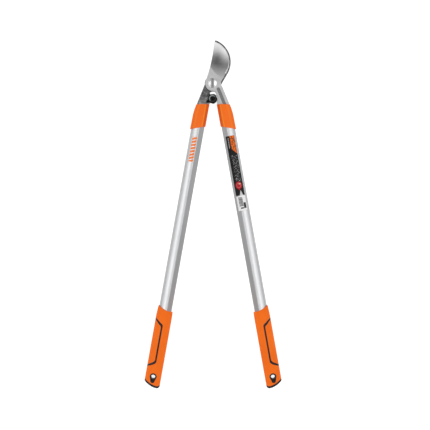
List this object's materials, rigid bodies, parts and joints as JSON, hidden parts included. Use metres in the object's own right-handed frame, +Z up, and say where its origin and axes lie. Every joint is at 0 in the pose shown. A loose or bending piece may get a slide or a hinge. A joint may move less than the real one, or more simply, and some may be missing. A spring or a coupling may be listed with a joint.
{
  "type": "bypass loppers",
  "caption": "Long-handled bypass loppers: a convex cutting blade slides past a hooked counter blade on a pivot, with a rubber stop, tubular handles and soft grips.",
  "frame": {"origin": "under the middle of the closed tool as it lies flat, on the surface it rests on", "axes": "+Y from the grips towards the blade tip, +X towards the cutting blade's handle, +Z up, along the pivot and out of the front of the tool"},
  "size_m": [0.312, 0.792, 0.027],
  "materials": {
    "forged_steel": "dark phosphated forging, mottled",
    "ground_steel": "satin with hollow-ground face",
    "polished_steel": "polished",
    "bronze": "turned",
    "zinc_steel": "zinc plated",
    "black_rubber": "matt",
    "black_steel": "black oxide",
    "printed_label": null,
    "white_sticker": null,
    "satin_aluminium": "satin anodised, drawn along its length",
    "black_nylon": "moulded",
    "rivet_aluminium": "plain",
    "orange_plastic": "fine moulded texture",
    "black_plastic": "moulded",
    "orange_rubber": "soft matt cover"
  },
  "bodies": {
    "hook_side": {"hook_blade": "forged_steel", "pivot_bush": "bronze", "bumper": "black_rubber", "bumper_screw": "black_steel", "bumper_nut": "zinc_steel", "left_tube": "satin_aluminium", "left_tang_insert": "black_nylon", "left_tang_rivets": "rivet_aluminium", "left_collar": "orange_plastic", "left_grip_core": "black_plastic", "left_grip_cover": "orange_rubber", "left_grip_panel": "orange_rubber"},
    "blade_side": {"cutting_blade": "ground_steel", "pivot_bolt": "polished_steel", "pivot_washer": "zinc_steel", "pivot_nut": "zinc_steel", "handle_label": "printed_label", "code_sticker": "white_sticker", "right_tube": "satin_aluminium", "right_tang_insert": "black_nylon", "right_tang_rivets": "rivet_aluminium", "right_collar": "orange_plastic", "right_grip_core": "black_plastic", "right_grip_cover": "orange_rubber", "right_grip_panel": "orange_rubber"}
  },
  "joints": [
    {"name": "pivot", "type": "hinge", "parent": "hook_side", "child": "blade_side", "pos_m": [-0.0013, 0.2985, 0.0135], "axis": [0, 0, 1], "range_deg": [0, 60]}
  ]
}
